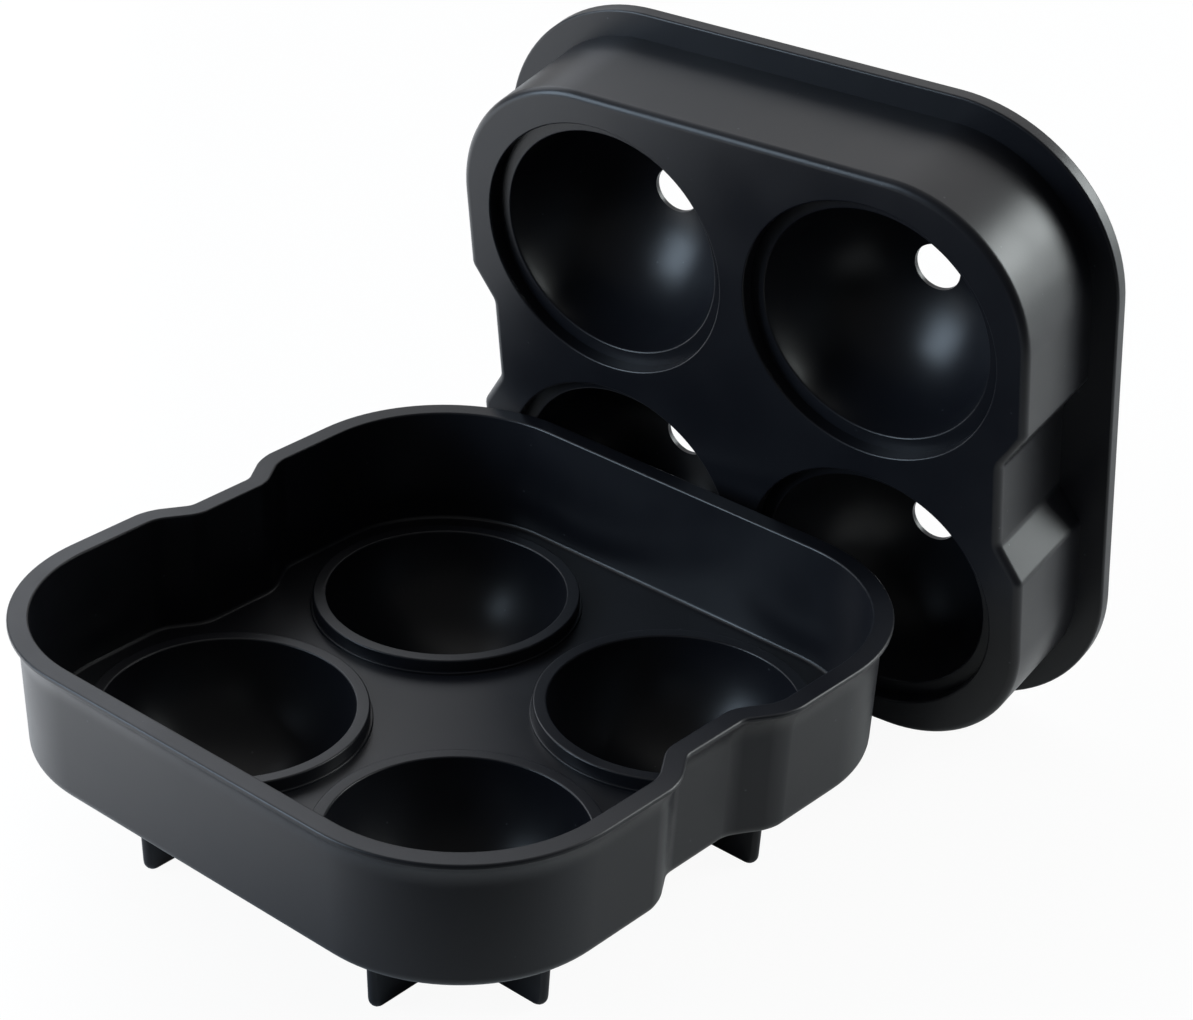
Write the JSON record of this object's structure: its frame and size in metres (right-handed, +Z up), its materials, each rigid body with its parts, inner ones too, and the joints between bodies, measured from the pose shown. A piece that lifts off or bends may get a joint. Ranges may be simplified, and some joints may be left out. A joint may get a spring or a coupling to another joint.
{
  "type": "ice ball mold",
  "caption": "Square silicone ice ball mold: a rimmed tray with hemispherical cups on crossed fins, and a plug lid with matching domes and fill holes.",
  "frame": {"origin": "on the table, under the middle of the tray", "axes": "+Z up; the tray's notched sides look along +X and -X; the lid stands behind the plain +Y side"},
  "size_m": [0.1334, 0.169, 0.1274],
  "materials": {
    "tray_silicone": "satin",
    "lid_silicone": "satin"
  },
  "bodies": {
    "tray": {"tray_basin": "tray_silicone", "bowl_1": "tray_silicone", "bowl_2": "tray_silicone", "bowl_3": "tray_silicone", "bowl_4": "tray_silicone"},
    "lid": {"lid_plate": "lid_silicone", "dome_1": "lid_silicone", "dome_2": "lid_silicone", "dome_3": "lid_silicone", "dome_4": "lid_silicone"}
  },
  "joints": [
    {"name": "lid_lift", "type": "slide", "parent": "tray", "child": "lid", "axis": [0, 0, 1], "range_m": [0, 0.14]}
  ]
}
